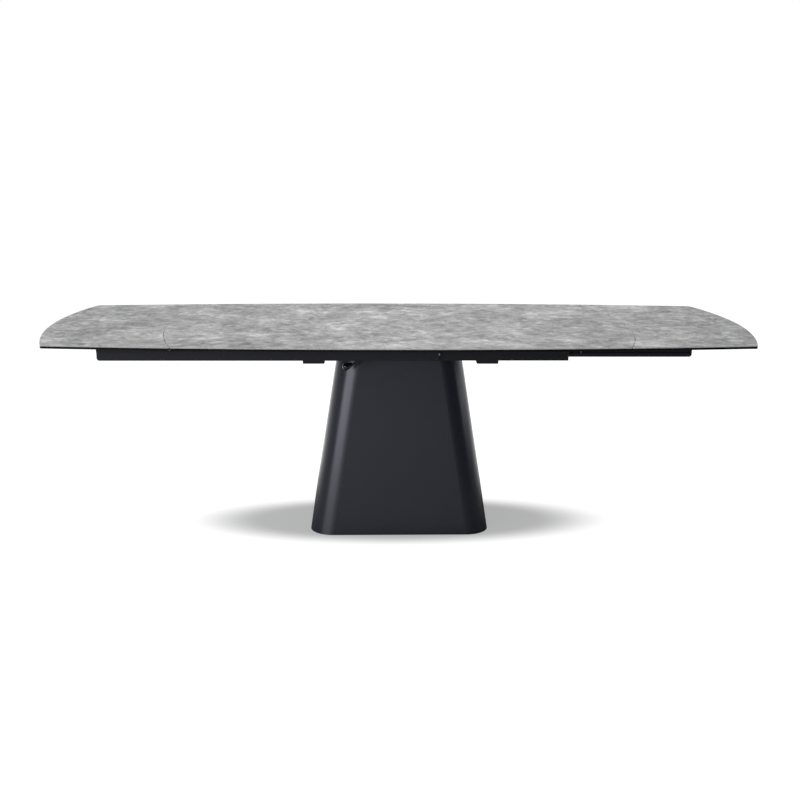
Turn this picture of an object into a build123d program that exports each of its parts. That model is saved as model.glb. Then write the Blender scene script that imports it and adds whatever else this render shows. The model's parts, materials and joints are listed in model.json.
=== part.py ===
# Extendable pedestal dining table, shown with both end leaves out.
# Millimetres. X runs along the table, the front is at -Y, Z is up.
# The origin is on the floor, under the middle of the top.
# Everything on the left is drawn once. The right-hand piece is the same one turned half round.
import os
from math import cos, radians, sin, sqrt, tan

from build123d import *

# Top
TOP_HEIGHT = 760.0
CERAMIC_THICKNESS = 4.0
GLASS_THICKNESS = 8.0
CLOSED_LENGTH = 1800.0
LEAF_EXTENSION = 450.0
TOP_WIDTH = 1045.0
SIDE_RADIUS = 12450.0
END_RADIUS = 1500.0
SEAM_GAP = 2.0
LEAF_CORNER_RADIUS = 12.0
SEAM_CORNER_RADIUS = 3.0
EDGE_ARRIS = 0.8

# How far the leaf goes down and in
STOW_CLEARANCE = 12.5
LEAF_SETBACK = 10.5
FLANGE_THICKNESS = 3.0
FLANGE_CLEARANCE = 1.5
FLANGE_MARGIN = 22.0
SKIRT_THICKNESS = 2.0
SKIRT_GAP = 1.0
SKIRT_OVERLAP = 4.0

# Lift cranks in the rail troughs
CRANK_RAISED = 10.0
CRANK_LOWERED = 95.0
CRANK_EYE = 5.5
CRANK_THICKNESS = 4.0
CRANK_HEADROOM = 0.5
CRANK_SIDE_GAP = 0.5
CRANK_SPACING = 150.0
CRANK_END_MARGIN = 38.0
TONGUE_THICKNESS = 4.0
TONGUE_SIDE_GAP = 1.0
TROUGH_CLEARANCE = 0.6
PIN_RADIUS = 3.0
PIN_CLEARANCE = 0.05

# Carriage rails
RAIL_WALL = 2.0
SLOT_DEPTH = 6.0
SLOT_HEIGHT = 16.0
MOUTH_HEIGHT = 8.0
OUTER_RAIL_SETBACK = 245.0
INNER_RAIL_SETBACK = 259.0
RAIL_NOSE_RADIUS = 10.0
RAIL_CAP = 3.0
END_BEAM_WIDTH = 25.0
END_BEAM_WALL = 2.0
END_BEAM_INSET = 2.0
STOP_CLEARANCE = 4.0
STOP_PLUG = 5.0
STOP_PLATE = 2.0

# Fixed guide beams, runners and frame bars
GUIDE_Y = 311.0
GUIDE_WIDTH = 50.0
GUIDE_WALL = 2.0
GUIDE_DEEPER = 4.0
GUIDE_CAP = 2.0
GUIDE_CAP_PLUG = 10.0
GUIDE_END_CLEARANCE = 6.0
RAIL_GAP = 2.0
RUNNER_LENGTH = 50.0
RUNNER_CLEARANCE = 0.3
RUNNER_END_MARGIN = 2.0
RUNNER_INNER_X = 71.0
CROSS_BEAM_X = 320.0
CROSS_BEAM_WIDTH = 80.0
CROSS_BEAM_CORNER = 3.0
BAR_THICKNESS = 12.0
SPINE_WIDTH = 60.0
SPACER_LENGTH = 100.0
SPACER_INSET = 3.0
SPACER_WALL = 3.0
SPACER_CLEARANCE = 28.0
PAD_THICKNESS = 3.0

# Folding stay that carries each leaf past the main top
STAY_Y = 137.0
STAY_BASE_X = 60.0
STAY_REST = 20.0
STAY_FOLDED = 85.0
STAY_WIDTH = 30.0
STAY_THICKNESS = 6.0
STAY_GAP = 0.5
STAY_PIN_RADIUS = 5.0
POST_SHOULDER = 4.0
POST_SHOULDER_RADIUS = 14.0
CLIP_THICKNESS = 1.6
CLIP_RADIUS = 8.0
CLIP_GAP = 0.3
BRACKET_WIDTH = 36.0
BRACKET_FLANGE = 3.0
BRACKET_FLANGE_DROP = 8.0

# Release lever with its cam under the outer rail
RELEASE_X = 155.0
RELEASE_DROP = 9.0
RELEASE_SHAFT_RADIUS = 5.0
RELEASE_ARM_RADIUS = 4.0
RELEASE_ARM_LENGTH = 50.0
RELEASE_ARM_SLOPE = 22.0
RELEASE_KNOB_RADIUS = 14.0
RELEASE_KNOB_TAPER = 20.0
RELEASE_COLLAR_RADIUS = 6.0
RELEASE_CAM_OFFSET = 4.0
RELEASE_CAM_GAP = 0.4
RELEASE_CAM_WIDTH = 19.0
RELEASE_PLATE = 3.0
RELEASE_PLATE_LENGTH = 40.0
RELEASE_EAR_RADIUS = 9.0
RELEASE_SIDE_GAP = 0.3

# Pedestal
PEDESTAL_BASE = 682.0
PEDESTAL_HEAD = 478.0
PEDESTAL_CORNER = 88.0
SHELL_THICKNESS = 3.0
SHELL_FLOOR_GAP = 4.0
SHELL_FIT = 0.3
HEAD_PLATE = 6.0
BASE_PLATE = 6.0
BASE_PLATE_HEIGHT = 8.0
COLUMN_WIDTH = 160.0
COLUMN_WALL = 5.0
COLUMN_CORNER = 14.0

# Levelling feet and fasteners
FOOT_SPREAD = 250.0
FOOT_RADIUS = 25.0
FOOT_PAD = 5.0
FOOT_STUD_RADIUS = 5.0
FOOT_STUD_SPARE = 4.0
FOOT_NUT_HEIGHT = 8.0
FOOT_NUT_RADIUS = 9.8
BOLT_RADIUS = 4.0
BOLT_HEAD_RADIUS = 7.5
BOLT_HEAD_HEIGHT = 5.3
BOLT_SOCKET_RADIUS = 3.5
BOLT_SOCKET_DEPTH = 3.0
BOLT_GRIP = 8.0
BOLT_PITCH = 44.0
SPINE_BOLT_X = 120.0
BOLT_CLEARANCE = 0.1

# Heights that follow from the top downwards
top_thickness = CERAMIC_THICKNESS + GLASS_THICKNESS
top_underside = TOP_HEIGHT - top_thickness
leaf_drop = top_thickness + STOW_CLEARANCE
rail_top = top_underside - leaf_drop - FLANGE_THICKNESS - FLANGE_CLEARANCE
crank_radius = leaf_drop / (sin(radians(CRANK_RAISED)) + sin(radians(CRANK_LOWERED)))
crank_pivot_z = rail_top - CRANK_EYE - CRANK_HEADROOM
crank_pin_z = crank_pivot_z + crank_radius * sin(radians(CRANK_RAISED))
trough_floor = (crank_pivot_z - crank_radius * sin(radians(CRANK_LOWERED))
                - CRANK_EYE - TROUGH_CLEARANCE)
rail_bottom = trough_floor - RAIL_WALL
slot_z = (rail_top + rail_bottom) / 2
guide_bottom = rail_bottom - GUIDE_DEEPER
frame_bottom = guide_bottom - BAR_THICKNESS
bolt_head_top = frame_bottom + BOLT_HEAD_HEIGHT

# Lengths along the table
leaf_end = CLOSED_LENGTH / 2 + LEAF_EXTENSION
crank_shift = crank_radius * (cos(radians(CRANK_RAISED)) - cos(radians(CRANK_LOWERED)))
carriage_travel = LEAF_EXTENSION + LEAF_SETBACK - crank_shift
leaf_travel = carriage_travel + crank_shift
stay_length = carriage_travel / 2 / (cos(radians(STAY_REST)) - cos(radians(STAY_FOLDED)))
stay_overtravel = 2 * stay_length * (1 - cos(radians(STAY_REST)))
stay_pin_x = -STAY_BASE_X - 2 * stay_length * cos(radians(STAY_REST))
outer_rail_end = -(leaf_end - OUTER_RAIL_SETBACK)
inner_rail_end = -(leaf_end - INNER_RAIL_SETBACK)
carriage_end = max(outer_rail_end, inner_rail_end)
rail_inner = (RUNNER_INNER_X + RUNNER_LENGTH / 2 + stay_overtravel
              + STOP_CLEARANCE + STOP_PLUG)
end_beam_inner = carriage_end + RAIL_CAP + END_BEAM_WIDTH
guide_half = -(end_beam_inner + carriage_travel) - GUIDE_END_CLEARANCE - GUIDE_CAP
runner_outer_x = -(guide_half - RUNNER_END_MARGIN - RUNNER_LENGTH / 2)

# Places across the table
trough_width = CRANK_SIDE_GAP * 2 + CRANK_THICKNESS + TONGUE_SIDE_GAP + TONGUE_THICKNESS
rail_width = RAIL_WALL * 3 + trough_width + SLOT_DEPTH
guide_outer_y = GUIDE_Y + GUIDE_WIDTH / 2
guide_inner_y = GUIDE_Y - GUIDE_WIDTH / 2
outer_rail_y = -guide_outer_y - RAIL_GAP - rail_width
inner_rail_y = guide_inner_y - RAIL_GAP - rail_width
left_rails_y = (outer_rail_y, inner_rail_y)
left_rails = ((outer_rail_y, outer_rail_end), (inner_rail_y, inner_rail_end))

nodes = {}


def keep(name, *solids):
    """Files one node, which may be a group of like solids."""
    nodes[name] = solids[0] if len(solids) == 1 else Compound(list(solids))


def keep_pair(name, *solids):
    """Files a left-hand node and its twin, turned half round, on the right."""
    keep("left_" + name, *solids)
    keep("right_" + name, *[half_turn(solid) for solid in solids])


def half_turn(solid):
    return Rot(0, 0, 180) * solid


def block(x, y, z):
    """A box between two limits on each axis."""
    spans = (x, y, z)
    middle = [sum(span) / 2 for span in spans]
    return Pos(*middle) * Box(*[span[1] - span[0] for span in spans])


def rod_up(x, y, bottom, top, radius):
    return Pos(x, y, (bottom + top) / 2) * Cylinder(radius, top - bottom)


def rod_across(x, z, front, back, radius):
    return Pos(x, (front + back) / 2, z) * Rot(90, 0, 0) * Cylinder(radius, back - front)


def plate_across(sketch, front, back):
    """Gives a sketch of X and Z its thickness along Y."""
    plane = Plane(origin=(0, back, 0), x_dir=(1, 0, 0), z_dir=(0, -1, 0))
    return extrude(plane * sketch, back - front)


def plate_up(sketch, bottom, top):
    return extrude(Pos(0, 0, bottom) * sketch, top - bottom)


def link(start, end, width):
    """A flat link's outline, with round ends about two points."""
    start, end = Vector(*start), Vector(*end)
    middle = (start + end) / 2
    along = end - start
    angle = Vector(1, 0).get_signed_angle(along, Vector(0, 0, 1))
    return Pos(middle.X, middle.Y) * Rot(0, 0, angle) * SlotCenterToCenter(along.length, width)


# Table top: slightly bowed sides, round ends, and the same round at the seams
def side_bow():
    offset = SIDE_RADIUS - TOP_WIDTH / 2
    return Pos(0, offset) * Circle(SIDE_RADIUS) & Pos(0, -offset) * Circle(SIDE_RADIUS)


def end_disc(half_length, radius=END_RADIUS):
    """The disc whose left-hand rim is the round end of a top of this half length."""
    return Pos(END_RADIUS - half_length, 0) * Circle(radius)


def main_outline():
    outline = side_bow() & end_disc(CLOSED_LENGTH / 2) & half_turn(end_disc(CLOSED_LENGTH / 2))
    return fillet(outline.vertices(), SEAM_CORNER_RADIUS)


def leaf_outline():
    outline = side_bow() & end_disc(leaf_end)
    outline = outline - end_disc(CLOSED_LENGTH / 2, END_RADIUS + SEAM_GAP)
    corners = outline.vertices().sort_by(Axis.X)
    outline = fillet(corners[:2], LEAF_CORNER_RADIUS)
    return fillet(outline.vertices().sort_by(Axis.X)[-2:], SEAM_CORNER_RADIUS)


def slab(outline):
    """A ceramic sheet bonded on a glass sheet, with the ceramic's upper arris taken off."""
    glass_top = TOP_HEIGHT - CERAMIC_THICKNESS
    ceramic = plate_up(outline, glass_top, TOP_HEIGHT)
    ceramic = chamfer(ceramic.faces().sort_by(Axis.Z)[-1].edges(), EDGE_ARRIS)
    return ceramic, plate_up(outline, top_underside, glass_top)


main_ceramic, main_glass = slab(main_outline())
keep("main_top_ceramic", main_ceramic)
keep("main_top_glass", main_glass)
leaf_ceramic, leaf_glass = slab(leaf_outline())
keep_pair("leaf_ceramic", leaf_ceramic)
keep_pair("leaf_glass", leaf_glass)


# Carriage rails: an open trough for the cranks beside a slot for the runners
def rail_profile(y):
    web = y + RAIL_WALL + trough_width
    slot = web + RAIL_WALL
    lip = slot + SLOT_DEPTH
    face = y + rail_width
    slot_low, slot_high = slot_z - SLOT_HEIGHT / 2, slot_z + SLOT_HEIGHT / 2
    mouth_low, mouth_high = slot_z - MOUTH_HEIGHT / 2, slot_z + MOUTH_HEIGHT / 2
    points = [(y, rail_bottom), (face, rail_bottom), (face, mouth_low), (lip, mouth_low),
              (lip, slot_low), (slot, slot_low), (slot, slot_high), (lip, slot_high),
              (lip, mouth_high), (face, mouth_high), (face, rail_top), (web, rail_top),
              (web, trough_floor), (y + RAIL_WALL, trough_floor), (y + RAIL_WALL, rail_top),
              (y, rail_top)]
    return make_face(Polyline(*points, close=True))


def nose_cut(y, end):
    """What is taken off the lower outer corner of a rail and its cap."""
    radius = RAIL_NOSE_RADIUS
    corner = Pos(end, rail_bottom) * Rectangle(radius, radius, align=(Align.MIN, Align.MIN))
    rounding = Pos(end + radius, rail_bottom + radius) * Circle(radius)
    return plate_across(corner - rounding, y, y + rail_width)


crank_pivots_x = [carriage_end + CRANK_END_MARGIN + step * CRANK_SPACING for step in range(2)]
crank_reach = crank_radius * cos(radians(CRANK_RAISED))


def rail(y, end):
    rail_start = end + RAIL_CAP
    solid = extrude(Plane.YZ.offset(rail_start) * rail_profile(y), rail_inner - rail_start)
    for x in crank_pivots_x:
        solid -= rod_across(x, crank_pivot_z, y, y + RAIL_WALL, PIN_RADIUS + PIN_CLEARANCE)
    return solid - nose_cut(y, end)


def rail_cap(y, end):
    return block((end, end + RAIL_CAP), (y, y + rail_width), (rail_bottom, rail_top)) - nose_cut(y, end)


def rail_stop(y):
    """A steel plate on the rail's inner end, with a plug in the slot that meets the runner."""
    slot = y + RAIL_WALL * 2 + trough_width + RUNNER_CLEARANCE
    plug_z = SLOT_HEIGHT / 2 - RUNNER_CLEARANCE
    plate = block((rail_inner, rail_inner + STOP_PLATE), (y, y + rail_width), (rail_bottom, rail_top))
    plug = block((rail_inner - STOP_PLUG, rail_inner),
                 (slot, slot + SLOT_DEPTH - RUNNER_CLEARANCE * 2),
                 (slot_z - plug_z, slot_z + plug_z))
    return plate + plug


def crank_pivot_pin(x, y):
    return rod_across(x, crank_pivot_z, y, y + RAIL_WALL + CRANK_SIDE_GAP + CRANK_THICKNESS, PIN_RADIUS)


keep_pair("outer_rail", rail(outer_rail_y, outer_rail_end))
keep_pair("inner_rail", rail(inner_rail_y, inner_rail_end))
keep_pair("rail_caps", *[rail_cap(y, end) for y, end in left_rails])
keep_pair("rail_stops", *[rail_stop(y) for y in left_rails_y])
keep_pair("crank_pivot_pins", *[crank_pivot_pin(x, y) for x in crank_pivots_x for y in left_rails_y])


def end_beam():
    """The hollow bar that ties the two rails of a carriage at their outer end."""
    x = (carriage_end + RAIL_CAP, end_beam_inner)
    y = (outer_rail_y + rail_width, inner_rail_y)
    z = (rail_bottom + END_BEAM_INSET, rail_top - END_BEAM_INSET)
    bore_x = (x[0] + END_BEAM_WALL, x[1] - END_BEAM_WALL)
    bore_z = (z[0] + END_BEAM_WALL, z[1] - END_BEAM_WALL)
    return block(x, y, z) - block(bore_x, y, bore_z)


keep_pair("end_beam", end_beam())


# Lift cranks and the brackets of the leaf that hang on them
def crank(x, y):
    front = y + RAIL_WALL + CRANK_SIDE_GAP
    back = front + CRANK_THICKNESS
    pin_x = x - crank_reach
    arm = plate_across(link((x, crank_pivot_z), (pin_x, crank_pin_z), CRANK_EYE * 2), front, back)
    arm -= rod_across(x, crank_pivot_z, front, back, PIN_RADIUS + PIN_CLEARANCE)
    stud_end = back + TONGUE_SIDE_GAP + TONGUE_THICKNESS
    return arm + rod_across(pin_x, crank_pin_z, back, stud_end, PIN_RADIUS)


def leaf_bracket(y, end):
    """A strip bonded under the leaf, with one tongue down to each crank."""
    front = y + RAIL_WALL + CRANK_SIDE_GAP + CRANK_THICKNESS + TONGUE_SIDE_GAP
    back = front + TONGUE_THICKNESS
    flange_bottom = top_underside - FLANGE_THICKNESS
    pins_x = [x - crank_reach for x in crank_pivots_x]
    span_x = (end, pins_x[-1] + FLANGE_MARGIN)
    solid = block(span_x, (y, y + rail_width), (flange_bottom, top_underside))
    upper_end = Rectangle(CRANK_EYE * 2, CRANK_EYE, align=(Align.CENTER, Align.MIN))
    for x in pins_x:
        tongue = link((x, flange_bottom), (x, crank_pin_z), CRANK_EYE * 2)
        tongue -= Pos(x, flange_bottom) * upper_end
        tongue -= Pos(x, crank_pin_z) * Circle(PIN_RADIUS + PIN_CLEARANCE)
        solid += plate_across(tongue, front, back)
    return solid


def skirted(bracket):
    """The outer bracket with a lip in front of the rail, which covers the gap that the lift needs."""
    box = bracket.bounding_box()
    span_x = (box.min.X, box.max.X)
    skirt_back = outer_rail_y - SKIRT_GAP
    skirt_front = skirt_back - SKIRT_THICKNESS
    skirt = block(span_x, (skirt_front, skirt_back), (rail_top - SKIRT_OVERLAP, top_underside))
    ledge = block(span_x, (skirt_back, outer_rail_y), (top_underside - FLANGE_THICKNESS, top_underside))
    return bracket + skirt + ledge


for crank_name, crank_x in zip(("outer_cranks", "inner_cranks"), crank_pivots_x):
    keep_pair(crank_name, *[crank(crank_x, y) for y in left_rails_y])
outer_bracket, inner_bracket = [leaf_bracket(y, end) for y, end in left_rails]
keep_pair("leaf_brackets", skirted(outer_bracket), inner_bracket)


# Fixed frame: two guide beams on two cross bars, tied by two spines over the pedestal
def guide_beam():
    half_width = GUIDE_WIDTH / 2
    y = (-GUIDE_Y - half_width, -GUIDE_Y + half_width)
    bore_y = (y[0] + GUIDE_WALL, y[1] - GUIDE_WALL)
    bore_z = (guide_bottom + GUIDE_WALL, rail_top - GUIDE_WALL)
    x = (-guide_half, guide_half)
    return block(x, y, (guide_bottom, rail_top)) - block(x, bore_y, bore_z)


def guide_cap():
    """A plug with a flat head in the right-hand end of the front guide beam."""
    half_width = GUIDE_WIDTH / 2
    inset = GUIDE_WALL + RUNNER_CLEARANCE
    head = block((guide_half, guide_half + GUIDE_CAP),
                 (-GUIDE_Y - half_width, -GUIDE_Y + half_width), (guide_bottom, rail_top))
    plug = block((guide_half - GUIDE_CAP_PLUG, guide_half),
                 (-GUIDE_Y - half_width + inset, -GUIDE_Y + half_width - inset),
                 (guide_bottom + inset, rail_top - inset))
    return head + plug


def runner(x, rail_y):
    """A nylon T that is fixed to the guide beam and runs in the rail's slot."""
    slot = rail_y + RAIL_WALL * 2 + trough_width
    guide_face = rail_y + rail_width + RAIL_GAP
    span_x = (x - RUNNER_LENGTH / 2, x + RUNNER_LENGTH / 2)
    head_z = SLOT_HEIGHT / 2 - RUNNER_CLEARANCE
    neck_z = MOUTH_HEIGHT / 2 - RUNNER_CLEARANCE
    head = block(span_x, (slot + RUNNER_CLEARANCE, slot + SLOT_DEPTH - RUNNER_CLEARANCE),
                 (slot_z - head_z, slot_z + head_z))
    neck = block(span_x, (slot + RUNNER_CLEARANCE, guide_face), (slot_z - neck_z, slot_z + neck_z))
    foot = block(span_x, (guide_face - RAIL_GAP + RUNNER_CLEARANCE, guide_face),
                 (slot_z - head_z, slot_z + head_z))
    return head + neck + foot


def cross_beam():
    bar = block((-CROSS_BEAM_X - CROSS_BEAM_WIDTH / 2, -CROSS_BEAM_X + CROSS_BEAM_WIDTH / 2),
                (-guide_outer_y, guide_outer_y), (frame_bottom, guide_bottom))
    lower_edges = bar.faces().sort_by(Axis.Z)[0].edges()
    bar = fillet(lower_edges.filter_by(Axis.Y), CROSS_BEAM_CORNER)
    for x, y in guide_bolt_places(-1):
        bar -= rod_up(x, y, frame_bottom, guide_bottom, BOLT_RADIUS + BOLT_CLEARANCE)
        bar -= rod_up(x, y, frame_bottom, bolt_head_top, BOLT_HEAD_RADIUS + BOLT_CLEARANCE)
    return bar


def guide_bolt_places(side):
    return [(side * CROSS_BEAM_X + step * BOLT_PITCH / 2, y)
            for step in (-1, 1) for y in (-GUIDE_Y, GUIDE_Y)]


def guide_bolt(x, y):
    """A cap screw with a hexagon socket, sunk in the underside of a cross bar."""
    head = rod_up(x, y, frame_bottom, bolt_head_top, BOLT_HEAD_RADIUS)
    socket = Pos(x, y) * RegularPolygon(BOLT_SOCKET_RADIUS, 6)
    head -= plate_up(socket, frame_bottom, frame_bottom + BOLT_SOCKET_DEPTH)
    return head + rod_up(x, y, bolt_head_top, guide_bottom + BOLT_GRIP, BOLT_RADIUS)


def spine_bolt(x, clearance=0.0):
    """A flush bolt through the front spine into the pedestal's head plate."""
    shank_radius = BOLT_RADIUS + clearance
    head_radius = BOLT_HEAD_RADIUS + clearance
    cone_height = head_radius - shank_radius
    shank = rod_up(x, -STAY_Y, frame_bottom - HEAD_PLATE, guide_bottom, shank_radius)
    cone = Cone(shank_radius, head_radius, cone_height)
    return shank + Pos(x, -STAY_Y, guide_bottom - cone_height / 2) * cone


def spine_beam():
    """The front spine. The other one is the same bar turned half round."""
    end = CROSS_BEAM_X - CROSS_BEAM_WIDTH / 2
    bar = block((-end, end), (-STAY_Y - SPINE_WIDTH / 2, -STAY_Y + SPINE_WIDTH / 2),
                (frame_bottom, guide_bottom))
    for side in (-1, 1):
        bar -= spine_bolt(side * SPINE_BOLT_X, BOLT_CLEARANCE)
    hole_radius = STAY_PIN_RADIUS + BOLT_CLEARANCE
    return bar - rod_up(STAY_BASE_X, -STAY_Y, frame_bottom, guide_bottom, hole_radius)


front_guide = guide_beam()
for hole_side in (-1, 1):
    for hole_x, hole_y in guide_bolt_places(hole_side):
        front_guide -= rod_up(hole_x, hole_y, guide_bottom, guide_bottom + BOLT_GRIP,
                              BOLT_RADIUS + BOLT_CLEARANCE)
keep("front_guide_beam", front_guide)
keep("rear_guide_beam", half_turn(front_guide))
front_cap = guide_cap()
caps_one_end = [front_cap, mirror(front_cap, Plane.XZ)]
keep("guide_end_caps", *caps_one_end, *[half_turn(cap) for cap in caps_one_end])
left_runners = [runner(x, y) for x in (runner_outer_x, RUNNER_INNER_X) for y in left_rails_y]
keep("rail_runners", *left_runners, *[half_turn(solid) for solid in left_runners])
keep_pair("cross_beam", cross_beam())
keep("front_spine_beam", spine_beam())
keep("rear_spine_beam", half_turn(spine_beam()))
guide_bolts = [guide_bolt(x, y) for side in (-1, 1) for x, y in guide_bolt_places(side)]
front_spine_bolts = [spine_bolt(side * SPINE_BOLT_X) for side in (-1, 1)]
keep("guide_bolts", *guide_bolts)
keep("spine_bolts", *front_spine_bolts, *[half_turn(bolt) for bolt in front_spine_bolts])


# Spacers that hold the main top clear of the stowed leaves
def stowed_edge(y):
    """Where the left leaf's inner edge lies, at this Y, when the leaf is in."""
    rim = sqrt((END_RADIUS + SEAM_GAP) ** 2 - y ** 2)
    return END_RADIUS - CLOSED_LENGTH / 2 - rim + leaf_travel


spacer_start = stowed_edge(GUIDE_Y) + SPACER_CLEARANCE
spacer_top = top_underside - PAD_THICKNESS


def spacer_box(y_side, inset, z):
    half_width = GUIDE_WIDTH / 2 - SPACER_INSET - inset
    return block((spacer_start + inset, spacer_start + SPACER_LENGTH - inset),
                 (y_side * GUIDE_Y - half_width, y_side * GUIDE_Y + half_width), z)


def spacer(y_side):
    """An inverted channel of steel sheet on a guide beam."""
    shell = spacer_box(y_side, 0, (rail_top, spacer_top))
    return shell - spacer_box(y_side, SPACER_WALL, (rail_top, spacer_top - SPACER_WALL))


left_spacers = [spacer(side) for side in (-1, 1)]
left_pads = [spacer_box(side, 0, (spacer_top, top_underside)) for side in (-1, 1)]
keep("top_spacers", *left_spacers, *[half_turn(solid) for solid in left_spacers])
keep("top_pads", *left_pads, *[half_turn(solid) for solid in left_pads])


# Folding stay: lever on the rear spine, rod to the bracket of the left carriage
lever_bottom = guide_bottom + POST_SHOULDER
lever_top = lever_bottom + STAY_THICKNESS
rod_bottom = lever_top + STAY_GAP
rod_top = rod_bottom + STAY_THICKNESS
bracket_bottom = rod_top + STAY_GAP
bracket_top = bracket_bottom + STAY_THICKNESS
stay_base = (-STAY_BASE_X, STAY_Y)
stay_elbow = (-STAY_BASE_X - stay_length * cos(radians(STAY_REST)),
              STAY_Y + stay_length * sin(radians(STAY_REST)))
stay_pin = (stay_pin_x, STAY_Y)


def stay_link(start, end, bottom, top):
    outline = link(start, end, STAY_WIDTH)
    for place in (start, end):
        outline -= Pos(*place) * Circle(STAY_PIN_RADIUS + PIN_CLEARANCE)
    return plate_up(outline, bottom, top)


def clip(place, bottom):
    """A round retaining clip."""
    return rod_up(*place, bottom, bottom + CLIP_THICKNESS, CLIP_RADIUS)


def stay_post():
    shoulder = rod_up(*stay_base, guide_bottom, lever_bottom, POST_SHOULDER_RADIUS)
    pin = rod_up(*stay_base, frame_bottom, lever_top + CLIP_GAP, STAY_PIN_RADIUS)
    return shoulder + pin + clip(stay_base, lever_top + CLIP_GAP)


def stay_elbow_pin():
    head_bottom = lever_bottom - CLIP_THICKNESS
    pin = rod_up(*stay_elbow, lever_bottom, rod_top + CLIP_GAP, STAY_PIN_RADIUS)
    return clip(stay_elbow, head_bottom) + pin + clip(stay_elbow, rod_top + CLIP_GAP)


def stay_bracket():
    """An angle on the left inner rail, with the pin that the rod pulls on."""
    x = (stay_pin_x - BRACKET_WIDTH / 2, stay_pin_x + BRACKET_WIDTH / 2)
    shelf = link(stay_pin, (stay_pin_x, inner_rail_y), BRACKET_WIDTH)
    inboard = Rectangle(BRACKET_WIDTH, stay_length * 2, align=(Align.CENTER, Align.MAX))
    shelf &= Pos(stay_pin_x, inner_rail_y) * inboard
    angle = block(x, (inner_rail_y - BRACKET_FLANGE, inner_rail_y),
                  (bracket_bottom - BRACKET_FLANGE_DROP, bracket_top))
    clip_bottom = rod_bottom - CLIP_GAP - CLIP_THICKNESS
    pin = rod_up(*stay_pin, clip_bottom, bracket_bottom, STAY_PIN_RADIUS)
    return plate_up(shelf, bracket_bottom, bracket_top) + angle + pin + clip(stay_pin, clip_bottom)


keep("stay_posts", stay_post(), half_turn(stay_post()))
keep_pair("stay_lever", stay_link(stay_base, stay_elbow, lever_bottom, lever_top))
keep_pair("stay_rod", stay_link(stay_elbow, stay_pin, rod_bottom, rod_top))
keep_pair("stay_elbow_pin", stay_elbow_pin())
keep_pair("stay_bracket", stay_bracket())

# Release lever: a cross shaft under the front guide beam, its cam under the left outer rail
release_z = guide_bottom - RELEASE_DROP
release_cam_radius = rail_bottom - RELEASE_CAM_GAP - release_z - RELEASE_CAM_OFFSET
release_frame = Pos(-RELEASE_X, -GUIDE_Y, release_z) * Rot(0, -90 - RELEASE_ARM_SLOPE, 0)
knob_waist = (RELEASE_KNOB_RADIUS * cos(radians(RELEASE_KNOB_TAPER)),
              RELEASE_ARM_LENGTH - RELEASE_KNOB_RADIUS * sin(radians(RELEASE_KNOB_TAPER)))
knob_taper_length = (knob_waist[0] - RELEASE_COLLAR_RADIUS) / tan(radians(RELEASE_KNOB_TAPER))
knob_seat = knob_waist[1] - knob_taper_length
ears_y = ((-guide_outer_y, -guide_outer_y + RELEASE_PLATE),
          (-guide_inner_y - RELEASE_PLATE, -guide_inner_y))


def release_bracket():
    plate_x = (-RELEASE_X - RELEASE_PLATE_LENGTH / 2, -RELEASE_X + RELEASE_PLATE_LENGTH / 2)
    plate_z = (guide_bottom - RELEASE_PLATE, guide_bottom)
    solid = block(plate_x, (-guide_outer_y, -guide_inner_y), plate_z)
    ear = link((-RELEASE_X, plate_z[0]), (-RELEASE_X, release_z), RELEASE_EAR_RADIUS * 2)
    ear &= Pos(-RELEASE_X, plate_z[0]) * Rectangle(RELEASE_PLATE_LENGTH, RELEASE_PLATE_LENGTH * 2,
                                                   align=(Align.CENTER, Align.MAX))
    ear -= Pos(-RELEASE_X, release_z) * Circle(RELEASE_SHAFT_RADIUS + PIN_CLEARANCE)
    for front, back in ears_y:
        solid += plate_across(ear, front, back)
    return solid


def release_lever():
    """A cam and a sloping arm on one cross shaft."""
    cam_back = -guide_outer_y - RELEASE_SIDE_GAP
    cam_front = cam_back - RELEASE_CAM_WIDTH
    cam_z = release_z + RELEASE_CAM_OFFSET
    cam = rod_across(-RELEASE_X, cam_z, cam_front, cam_back, release_cam_radius)
    shaft = rod_across(-RELEASE_X, release_z, cam_front, -guide_inner_y, RELEASE_SHAFT_RADIUS)
    arm = release_frame * rod_up(0, 0, 0, knob_seat, RELEASE_ARM_RADIUS)
    return cam + shaft + arm


def release_knob():
    """A pear-shaped grip with a flat seat where it is screwed on the arm."""
    middle, end = RELEASE_ARM_LENGTH, RELEASE_ARM_LENGTH + RELEASE_KNOB_RADIUS
    outline = Polyline((0, end), (0, knob_seat), (RELEASE_COLLAR_RADIUS, knob_seat), knob_waist)
    outline += ThreePointArc(knob_waist, (RELEASE_KNOB_RADIUS, middle), (0, end))
    return release_frame * revolve(Plane.XZ * make_face(outline), Axis.Z)


keep("release_brackets", release_bracket(), half_turn(release_bracket()))
keep_pair("release_lever", release_lever())
keep_pair("release_knob", release_knob())


# Pedestal: a tapering sheet shell round a column between two plates
shell_top = frame_bottom - HEAD_PLATE


def shell_section(z, inset):
    """The rounded square of the shell at a height, set in from its outer face."""
    share = (z - SHELL_FLOOR_GAP) / (shell_top - SHELL_FLOOR_GAP)
    width = PEDESTAL_BASE + (PEDESTAL_HEAD - PEDESTAL_BASE) * share - inset * 2
    return Pos(0, 0, z) * RectangleRounded(width, width, PEDESTAL_CORNER - inset)


def tapered(bottom, top, inset):
    return loft([shell_section(bottom, inset), shell_section(top, inset)], ruled=True)


def pedestal_shell():
    return tapered(SHELL_FLOOR_GAP, shell_top, 0) - tapered(SHELL_FLOOR_GAP, shell_top, SHELL_THICKNESS)


def head_plate():
    outline = RectangleRounded(PEDESTAL_HEAD, PEDESTAL_HEAD, PEDESTAL_CORNER)
    plate = plate_up(outline, shell_top, frame_bottom)
    for bolt in (spine_bolt(side * SPINE_BOLT_X, BOLT_CLEARANCE) for side in (-1, 1)):
        plate = plate - bolt - half_turn(bolt)
    return plate


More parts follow.
